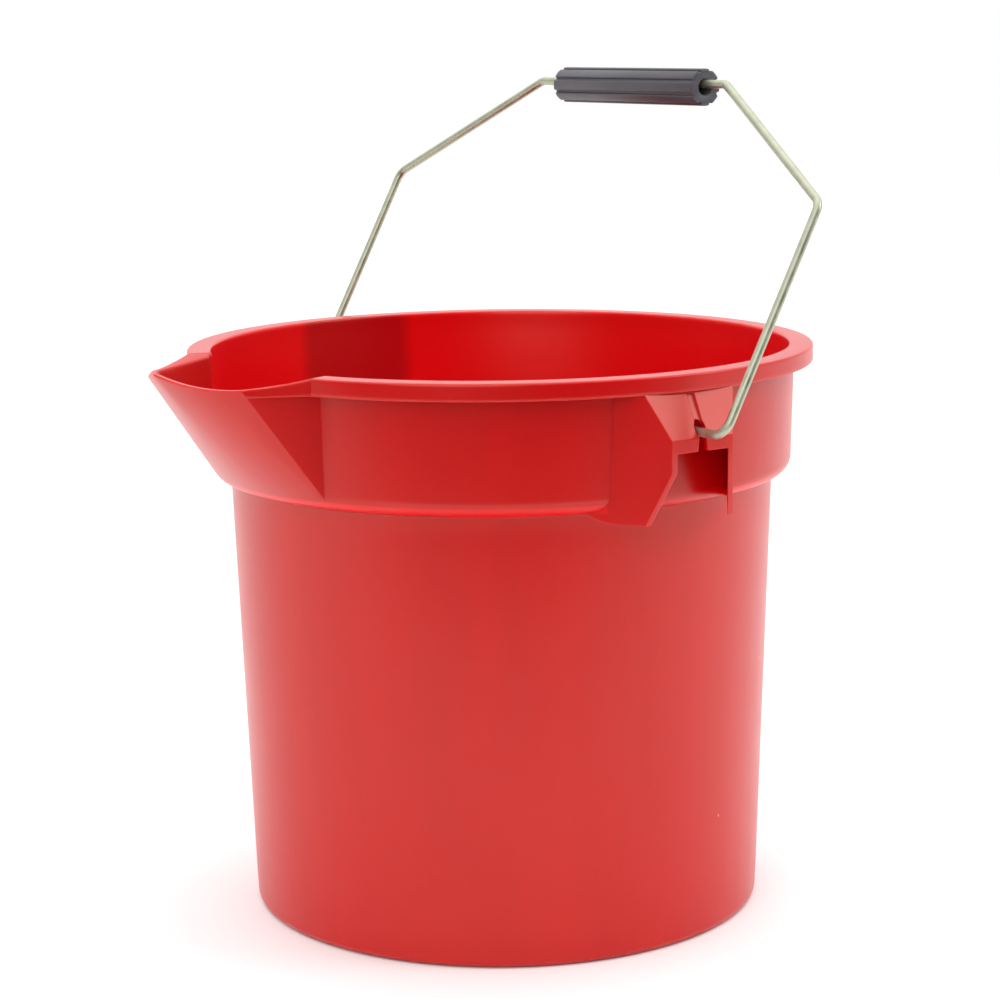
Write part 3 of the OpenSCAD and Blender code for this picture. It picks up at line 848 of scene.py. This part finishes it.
@dataclass
class HoodedEars:
    """The two moulded ears with the wire's holes. Sizes are millimetres, along and across one ear."""

    body: BucketBody
    front: float = 160.3
    front_half: float = 17.1
    root_half: float = 33.6
    top_back: float = 9.6
    lip_h: float = 6.0
    cheek_h: float = 8.7
    tail: float = 4.2
    tail_back: float = 9.5
    tail_run: float = 12.0
    wall: float = 2.3
    hole_r: float = 3.0
    hole_z: float = 251.25
    stretch: float = 1.6
    slot_top: float = 3.3
    slot_low: float = 5.5
    groove_w: float = 4.4
    groove_depth: float = 0.9

    def plan(self, inset: float) -> list[tuple[float, float]]:
        """Plan of the ear with its side plates drawn in.

        Args:
            inset: how far each side plate is drawn in.

        Returns:
            The outline's points, in millimetres.
        """
        root_x = math.sqrt(self.body.band_top_r ** 2 - self.root_half ** 2)
        turn = math.atan2(self.root_half - self.front_half, self.front - root_x)
        k = inset / math.cos(turn)
        slope = math.tan(turn)
        back = 110.0
        spread = self.root_half + (root_x - back) * slope
        tip = self.front + 1
        return [(back, k - spread), (tip, k - self.front_half + slope), (tip, self.front_half - slope - k),
                (back, spread - k)]

    def side(self) -> list[tuple[float, float]]:
        """Side view of the ear.

        Returns:
            The outline's points, outwards and up, in millimetres.
        """
        lip_top = self.hole_z - self.hole_r
        lip_low = lip_top - self.lip_h
        cheek = lip_low - self.cheek_h
        tail_z = self.body.step_z - self.tail
        root = 129.1
        r = (self.tail_run ** 2 + self.tail ** 2) / (2 * self.tail)
        turn = math.degrees(math.asin(self.tail_run / r))
        top = self.front - self.top_back
        slope = self.top_back / (self.body.lip_z - lip_top)
        roof = self.body.height - self.body.lip_wall + 0.8
        return [(root - 9, roof), (root - 9, self.body.step_z),
                *arc(root + self.tail_run, tail_z + r, r, -90 - turn, -90, 6),
                (self.front - self.tail_back, tail_z), (self.front, cheek), (self.front, lip_top),
                (top, self.body.lip_z), (top - slope * (roof - self.body.lip_z), roof)]

    def hollow(self) -> list[tuple[float, float]]:
        """Side view of the space behind the front.

        Returns:
            The outline's points, outwards and up, in millimetres.
        """
        lip_top = self.hole_z - self.hole_r
        top = self.front - self.top_back
        roof = self.body.height - self.body.lip_wall + 2
        slope = self.top_back / (self.body.lip_z - lip_top)
        back = self.front - self.wall
        return [(100, roof), (100, 150), (260, 150), (260, lip_top - self.lip_h),
                (back, lip_top - self.lip_h), (back, lip_top - self.wall / 2),
                (top - 1.1 * self.wall, self.body.lip_z),
                (top - slope * (roof - self.body.lip_z) - 1.1 * self.wall, roof)]

    def core(self) -> bpy.types.Object:
        """The middle of the bucket's wall as a solid, where the ears end inside the wall.

        Returns:
            The solid, which is only a cutting tool.
        """
        b, half = self.body, self.body.wall / 2
        outline = [(0, 100), (b.base_r + 4.6, 100), (b.shoulder_r - half, b.step_z + half),
                   (b.band_low_r - b.band_edge_r, b.step_z + half),
                   (b.band_low_r - 3, b.step_z + 3.2), (b.band_low_r - half, b.step_z + b.band_edge_r),
                   (b.band_top_r - half, b.height + 4), (0, b.height + 4)]
        steps = 180
        points = [(r * math.cos(2 * math.pi * i / steps), r * math.sin(2 * math.pi * i / steps), z)
                  for i in range(steps) for r, z in outline]
        made = mesh_object("wall_middle", points, turned_faces(len(outline), steps))
        tidy_mesh(made, 0.004, 30)
        return made

    def build(self) -> list[bpy.types.Object]:
        """Build both ears and return them."""
        upright = Matrix(((1, 0, 0, 0), (0, 0, -1, 0), (0, 1, 0, 0), (0, 0, 0, 1)))
        facing = Matrix(((0, 0, 1, 0), (1, 0, 0, 0), (0, 1, 0, 0), (0, 0, 0, 1)))
        level = Matrix.Identity(4)
        ear = prism("ear", self.side(), -60, 60, upright)
        carve(ear, prism("plan", self.plan(0), 150, 300, level), Cut.KEEP_COMMON)
        room = prism("room", self.hollow(), -60, 60, upright)
        carve(room, prism("room_plan", self.plan(self.wall), 140, 310, level), Cut.KEEP_COMMON)
        carve(ear, room, Cut.TAKE_AWAY)
        hole = arc(0, self.hole_z, self.hole_r, 180, 360, 20)
        hole += arc(0, self.hole_z + self.stretch, self.hole_r, 0, 180, 20)
        carve(ear, prism("hole", hole, 144, 175, facing), Cut.TAKE_AWAY)
        low = self.hole_z - self.hole_r - self.lip_h - 1
        slot = [(-self.slot_top / 2, self.hole_z), (-self.slot_low / 2, low),
                (self.slot_low / 2, low), (self.slot_top / 2, self.hole_z)]
        carve(ear, prism("slot", slot, 144, 175, facing), Cut.TAKE_AWAY)
        slope = self.top_back / (self.body.lip_z - self.hole_z + self.hole_r)
        groove = [(self.front - slope * self.hole_r - self.groove_depth, self.hole_z),
                  (self.front + 1, self.hole_z), (self.front + 1, self.body.lip_z - 0.8),
                  (self.front - self.top_back - self.groove_depth, self.body.lip_z - 0.8)]
        carve(ear, prism("groove", groove, -self.groove_w / 2, self.groove_w / 2, upright), Cut.TAKE_AWAY)
        carve(ear, self.core(), Cut.TAKE_AWAY)
        made = []
        for name, turn in (("ear_left", 90), ("ear_right", -90)):
            copy = bpy.data.objects.new(name, ear.data.copy())
            bpy.context.scene.collection.objects.link(copy)
            copy.data.transform(Matrix.Rotation(math.radians(turn), 4, "Z"))
            tidy_mesh(copy, 0.01, 25)
            made.append(copy)
        bpy.data.objects.remove(ear)
        return made

    def dress(self, ears: list[bpy.types.Object], plastic: bpy.types.Material) -> None:
        """Give the ears the bucket's own plastic and their place in the frame."""
        for ear in ears:
            ear.data.materials.clear()
            ear.data.materials.append(plastic)
            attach(ear, "bucket")


# ---- the bail and its grip ----


@dataclass
class BentBail:
    """The wire bail, swept along its bent path. Sizes are millimetres."""

    finish: ZincPlatedWire
    wire_d: float = 4.1
    pivot_z: float = 250.6
    lean_deg: float = 28.3
    leg_y: float = 175.45
    head_y: float = 146.95
    shoulder_z: float = 112.5
    top_z: float = 169.3
    top_half: float = 75.9
    bend_r: float = 7.5
    head_d: float = 7.4
    head_t: float = 2.0

    def in_place(self) -> Matrix:
        """The bail's own frame in the row frame, in metres."""
        lift = Matrix.Translation((0, 0, self.pivot_z * MM))
        return lift @ Matrix.Rotation(-math.radians(self.lean_deg), 4, "Y")

    def sweep_tree(self, material: bpy.types.Material) -> bpy.types.NodeTree:
        """Node tree that rounds the corners of a path and sweeps a round wire along it.

        Args:
            material: the wire's finish.

        Returns:
            The geometry node tree, with inputs for the wire's radius and the bends' radius.
        """
        tree = new_geometry_tree("bent_wire",
                                 {"Wire Radius": "NodeSocketFloat", "Bend Radius": "NodeSocketFloat"})
        start = add_node(tree, "NodeGroupInput")
        path = add_node(tree, "GeometryNodeMeshToCurve", links={"Mesh": start.outputs["Geometry"]})
        bent = add_node(tree, "GeometryNodeFilletCurve", values={"Limit Radius": False},
                        links={"Curve": path.outputs[0], "Radius": start.outputs["Bend Radius"]})
        bent.mode = "POLY"
        bent.inputs["Count"].default_value = 10
        ring = add_node(tree, "GeometryNodeCurvePrimitiveCircle", values={"Resolution": 28},
                        links={"Radius": start.outputs["Wire Radius"]})
        wire = add_node(tree, "GeometryNodeCurveToMesh", values={"Fill Caps": True},
                        links={"Curve": bent.outputs[0], "Profile Curve": ring.outputs[0]})
        whole = add_node(tree, "GeometryNodeRealizeInstances", links={0: wire.outputs[0]})
        coat = add_node(tree, "GeometryNodeSetMaterial", values={"Material": material},
                        links={"Geometry": whole.outputs[0]})
        add_node(tree, "NodeGroupOutput", links={0: coat.outputs[0]})
        return tree

    def head(self, side: int) -> tuple[list, list]:
        """Points and faces of the upset head on one wire end.

        Args:
            side: 1 for the left ear, -1 for the right one.

        Returns:
            The points in millimetres, and the faces as lists of point numbers.
        """
        r, t, flat = self.head_d / 2, self.head_t, 0.5
        outline = [(0.0, 0.0), (r - flat, 0.0), (r - 0.15, 0.15), (r, flat),
                   (r, t - flat), (r - 0.15, t - 0.15), (r - flat, t), (0.0, t)]
        steps = 40
        points = []
        for i in range(steps):
            a = 2 * math.pi * i / steps
            points += [(q * math.cos(a), side * (self.head_y - h), q * math.sin(a)) for q, h in outline]
        return points, turned_faces(len(outline), steps)

    def build(self) -> bpy.types.Object:
        """Build the bent wire with its two heads and return it."""
        half = [(self.top_half, self.top_z), (self.leg_y, self.shoulder_z),
                (self.leg_y, 0), (self.head_y - 1, 0)]
        path = [(0, -y, z) for y, z in reversed(half)] + [(0, y, z) for y, z in half]
        mesh = bpy.data.meshes.new("bail_path")
        mesh.from_pydata([tuple(c * MM for c in p) for p in path],
                         [(i, i + 1) for i in range(len(path) - 1)], [])
        wire = bpy.data.objects.new("bail_wire_visual", mesh)
        bpy.context.scene.collection.objects.link(wire)
        run_geometry_tree(wire, self.sweep_tree(self.finish.build()),
                          {"Wire Radius": self.wire_d / 2 * MM, "Bend Radius": self.bend_r * MM})
        work = bmesh.new()
        work.from_mesh(wire.data)
        for side in (1, -1):
            points, faces = self.head(side)
            made = [work.verts.new(Vector(p) * MM) for p in points]
            for f in faces:
                work.faces.new([made[i] for i in f])
        work.to_mesh(wire.data)
        work.free()
        tidy_mesh(wire, 0.004, 40)
        wire.data.transform(self.in_place())
        return wire

    def dress(self, wire: bpy.types.Object) -> None:
        """Give the wire its place in the frame."""
        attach(wire, "bail")
        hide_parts("bail_wire")


@dataclass
class FlutedGrip:
    """The loose grip: a sleeve with broad ribs. Sizes are millimetres."""

    finish: MouldedGripPlastic
    bail: BentBail
    length: float = 114.3
    outer_d: float = 17.8
    bore_d: float = 7.8
    ribs: int = 8
    gap: float = 1.5
    depth: float = 1.1
    shift: float = 3.0
    slack: float = 0.3

    def rib(self) -> bpy.types.Object:
        """One rib along +Y with rounded long edges and ends.

        Returns:
            The rib, which the node tree repeats.
        """
        r, low = self.outer_d / 2, self.outer_d / 2 - self.depth - 0.5
        wide = math.pi / self.ribs - math.asin(self.gap / 2 / r)
        half, soft = self.length / 2, 0.45
        turns = np.linspace(-wide, wide, 13)
        ends = [(-half, 0.55), (-half + 0.12, 0.2), (-half + soft, 0.0),
                (half - soft, 0.0), (half - 0.12, 0.2), (half, 0.55)]
        points, faces = [], []
        for y, drop in ends:
            top = []
            for t in turns:
                near = max(abs(t) - (wide - soft / r), 0) * r / soft
                sag = soft * (1 - math.sqrt(max(1 - near * near, 0)))
                top.append(((r - drop - sag) * math.sin(t), y, (r - drop - sag) * math.cos(t)))
            points += top + [(low * math.sin(t), y, low * math.cos(t)) for t in turns[::-1]]
        n = 2 * len(turns)
        for i in range(len(ends) - 1):
            faces += [[i * n + k, i * n + (k + 1) % n, (i + 1) * n + (k + 1) % n, (i + 1) * n + k]
                      for k in range(n)]
        faces += [list(range(n))[::-1], [(len(ends) - 1) * n + k for k in range(n)]]
        made = mesh_object("rib", points, faces)
        tidy_mesh(made, 0.001, 40)
        return made

    def sleeve(self) -> bpy.types.Object:
        """The round sleeve under the ribs, with its bore.

        Returns:
            The sleeve, still without ribs.
        """
        r, bore, half = self.outer_d / 2 - self.depth, self.bore_d / 2, self.length / 2
        outline = [(bore, -half + 0.5), (bore + 0.15, -half + 0.15), (bore + 0.5, -half), (r - 0.4, -half),
                   (r, -half + 0.4), (r, half - 0.4), (r - 0.4, half), (bore + 0.5, half),
                   (bore + 0.15, half - 0.15), (bore, half - 0.5)]
        n, steps = len(outline), 64
        points = [(q * math.sin(2 * math.pi * i / steps), y, q * math.cos(2 * math.pi * i / steps))
                  for i in range(steps) for q, y in outline]
        faces = [[i * n + k, i * n + (k + 1) % n, (i + 1) % steps * n + (k + 1) % n, (i + 1) % steps * n + k]
                 for i in range(steps) for k in range(n)]
        made = mesh_object("grip_visual", points, faces)
        tidy_mesh(made, 0.001, 40)
        return made

    def rib_tree(self, rib: bpy.types.Object, material: bpy.types.Material) -> bpy.types.NodeTree:
        """Node tree that sets one rib round the sleeve as often as asked.

        Args:
            rib: the rib to repeat.
            material: the grip's finish.

        Returns:
            The geometry node tree, with an input for the number of ribs.
        """
        tree = new_geometry_tree("grip_ribs", {"Ribs": "NodeSocketInt"})
        start = add_node(tree, "NodeGroupInput")
        source = add_node(tree, "GeometryNodeObjectInfo", values={"Object": rib})
        points = add_node(tree, "GeometryNodePoints", links={"Count": start.outputs["Ribs"]})
        number = add_node(tree, "GeometryNodeInputIndex")
        step = add_node(tree, "ShaderNodeMath", {"operation": "DIVIDE"}, {0: 2 * math.pi},
                        {1: start.outputs["Ribs"]})
        turn = add_node(tree, "ShaderNodeMath", {"operation": "MULTIPLY"},
                        links={0: step.outputs[0], 1: number.outputs[0]})
        round_axis = add_node(tree, "ShaderNodeCombineXYZ", links={"Y": turn.outputs[0]})
        ribs = add_node(tree, "GeometryNodeInstanceOnPoints",
                        links={"Points": points.outputs[0], "Instance": source.outputs["Geometry"],
                               "Rotation": round_axis.outputs[0]})
        both = add_node(tree, "GeometryNodeJoinGeometry")
        tree.links.new(ribs.outputs[0], both.inputs[0])
        tree.links.new(start.outputs["Geometry"], both.inputs[0])
        whole = add_node(tree, "GeometryNodeRealizeInstances", links={0: both.outputs[0]})
        coat = add_node(tree, "GeometryNodeSetMaterial", values={"Material": material},
                        links={"Geometry": whole.outputs[0]})
        add_node(tree, "NodeGroupOutput", links={0: coat.outputs[0]})
        return tree

    def build(self) -> bpy.types.Object:
        """Build the grip with all its ribs and return it."""
        rib, grip = self.rib(), self.sleeve()
        run_geometry_tree(grip, self.rib_tree(rib, self.finish.build()), {"Ribs": self.ribs})
        bpy.data.objects.remove(rib)
        grip.data.shade_smooth()
        grip.data.set_sharp_from_angle(angle=math.radians(40))
        drop = self.bore_d / 2 - self.bail.wire_d / 2 - self.slack
        lean = math.radians(self.bail.lean_deg)
        centre = Vector((-self.bail.top_z * math.sin(lean), self.shift,
                         self.bail.pivot_z + self.bail.top_z * math.cos(lean) - drop)) * MM
        grip.data.transform(Matrix.Translation(centre))
        return grip

    def dress(self, grip: bpy.types.Object) -> None:
        """Give the grip its place in the frame."""
        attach(grip, "grip")
        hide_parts("grip")


# ---- the studio ----


@dataclass(frozen=True)
class Softbox:
    """A square soft light that faces the bucket: angles in degrees, sizes in metres."""

    name: str
    radiance: float
    size: float
    azimuth: float
    elevation: float
    distance: float
    aim_z: float = 0.15

    def build(self) -> None:
        """Put the light in the scene."""
        data = bpy.data.lights.new(self.name, "AREA")
        data.shape = "SQUARE"
        data.size = self.size
        data.energy = self.radiance * math.pi * self.size * self.size
        made = bpy.data.objects.new(self.name, data)
        bpy.context.scene.collection.objects.link(made)
        a, e = math.radians(self.azimuth), math.radians(self.elevation)
        out = Vector((math.cos(a) * math.cos(e), math.sin(a) * math.cos(e), math.sin(e)))
        made.matrix_world = Matrix.Translation(out * self.distance + Vector((0, 0, self.aim_z))) @ (
            -out).to_track_quat("-Z", "Y").to_matrix().to_4x4()


@dataclass
class Studio:
    """Camera, pale floor and soft lights."""

    paper: SweepPaper
    lens_mm: float = 94.47
    stand: tuple[float, float, float] = (0.71118, 1.06235, 0.42919)
    pitch: float = 0.1794
    heading_deg: float = 146.2
    yaw: float = -0.0007
    roll: float = -0.0131
    front_deg: float = 56.2
    dark_dip_deg: float = -8.0
    paper_front_mm: float = 750.0
    paper_side_mm: float = 6000.0
    paper_under_mm: float = 0.2
    # brightness of the walls from behind the bucket, at 0, round to its front, at 1
    wall_light: tuple[tuple[float, float], ...] = ((0.0, 1.1), (0.4, 0.62), (0.56, 0.6), (0.8, 0.0))
    ceiling_light: float = 1.45
    lamps: tuple[Softbox, ...] = (
        Softbox("key", 4.7, 0.56, 135.0, 31.0, 1.6),
        Softbox("front", 2.6, 1.4, 40.0, 24.0, 2.2),
    )

    def camera(self) -> None:
        """Set up the camera and make it the scene's."""
        yaw, pitch, roll = self.yaw, self.pitch, self.roll
        ahead = Vector((math.sin(yaw) * math.cos(pitch), math.cos(yaw) * math.cos(pitch), -math.sin(pitch)))
        right = Vector((math.cos(yaw), -math.sin(yaw), 0))
        up = right.cross(ahead)
        right, up = (math.cos(roll) * right + math.sin(roll) * up,
                     -math.sin(roll) * right + math.cos(roll) * up)
        turn = Matrix((right, up, -ahead)).transposed().to_4x4()
        data = bpy.data.cameras.new("camera")
        data.lens = self.lens_mm
        data.sensor_width = 36
        data.clip_end = 50
        made = bpy.data.objects.new("camera", data)
        bpy.context.scene.collection.objects.link(made)
        made.matrix_world = Matrix.Translation(self.stand) @ Matrix.Rotation(
            math.radians(self.heading_deg), 4, "Z") @ turn
        bpy.context.scene.camera = made

    def surround(self) -> None:
        """White studio walls, dark on the side that the bucket's front faces."""
        world = bpy.data.worlds.new("studio")
        bpy.context.scene.world = world
        world.use_nodes = True
        tree = world.node_tree
        back = tree.nodes["Background"]
        ahead, dip = math.radians(self.front_deg), math.radians(self.dark_dip_deg)
        dark = (math.cos(ahead) * math.cos(dip), math.sin(ahead) * math.cos(dip), math.sin(dip))
        look = add_node(tree, "ShaderNodeTexCoord").outputs["Generated"]
        near = add_node(tree, "ShaderNodeVectorMath", {"operation": "DOT_PRODUCT"}, {1: dark}, {0: look})
        share = add_node(tree, "ShaderNodeMath", {"operation": "MULTIPLY_ADD"}, {1: 0.5, 2: 0.5},
                         {0: near.outputs["Value"]})
        light = add_node(tree, "ShaderNodeValToRGB", links={"Fac": share.outputs[0]})
        stops = light.color_ramp.elements
        for place, level in self.wall_light[1:-1]:
            stops.new(place).color = (level, level, level, 1)
        for stop, (place, level) in ((stops[0], self.wall_light[0]), (stops[-1], self.wall_light[-1])):
            stop.position, stop.color = place, (level, level, level, 1)
        # the ceiling is brighter than the walls, and lights the paper evenly
        split = add_node(tree, "ShaderNodeSeparateXYZ", links={0: look})
        height = add_node(tree, "ShaderNodeMath", {"operation": "MAXIMUM"}, {1: 0.0}, {0: split.outputs["Z"]})
        square = add_node(tree, "ShaderNodeMath", {"operation": "MULTIPLY"},
                          links={0: height.outputs[0], 1: height.outputs[0]})
        total = add_node(tree, "ShaderNodeMath", {"operation": "MULTIPLY_ADD"}, {1: self.ceiling_light},
                         {0: square.outputs[0], 2: light.outputs[0]})
        seen = add_node(tree, "ShaderNodeLightPath")
        shown = add_node(tree, "ShaderNodeMix", {"data_type": "FLOAT"}, {3: 1.0},
                         {0: seen.outputs["Is Camera Ray"], 2: total.outputs[0]})
        back.inputs["Color"].default_value = (1, 1, 1, 1)
        tree.links.new(shown.outputs[0], back.inputs["Strength"])

    def build(self) -> None:
        """Build the floor, the surroundings and the lights."""
        # the paper ends in front of the bucket, and the studio beyond it is dark
        ahead = math.radians(self.front_deg)
        towards = np.array([math.cos(ahead), math.sin(ahead), 0.0])
        across = np.array([-towards[1], towards[0], 0.0])
        side = self.paper_side_mm
        corners = [towards * self.paper_front_mm + across * w for w in (-side, side)]
        corners += [towards * -side + across * w for w in (side, -side)]
        floor = mesh_object("floor", corners, [[0, 1, 2, 3]])
        floor.data.transform(Matrix.Translation((0, 0, -self.paper_under_mm * MM)))
        floor.data.materials.append(self.paper.build())
        self.surround()
        for lamp in self.lamps:
            lamp.build()
        bpy.context.scene.view_settings.view_transform = "Standard"


def main() -> None:
    """Build the bucket piece by piece, then the studio."""
    logging.basicConfig(level=logging.INFO, format="%(name)s %(message)s")
    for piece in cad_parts.values():
        LOG.info("frame node %s", piece.name)
    studio = Studio(SweepPaper())
    studio.camera()
    body = BucketBody(MouldedPolyethylene())
    shell = body.build()
    body.dress(shell)
    LOG.info("bucket body, %d faces", len(shell.data.polygons))
    ears = HoodedEars(body)
    pair = ears.build()
    ears.dress(pair, shell.data.materials[0])
    LOG.info("ears, %d faces each", len(pair[0].data.polygons))
    bail = BentBail(ZincPlatedWire())
    wire = bail.build()
    bail.dress(wire)
    LOG.info("bail wire, %d faces", len(wire.data.polygons))
    sleeve = FlutedGrip(MouldedGripPlastic(), bail)
    grip = sleeve.build()
    sleeve.dress(grip)
    LOG.info("grip, %d faces", len(grip.data.polygons))
    studio.build()


if __name__ == "__main__":
    main()
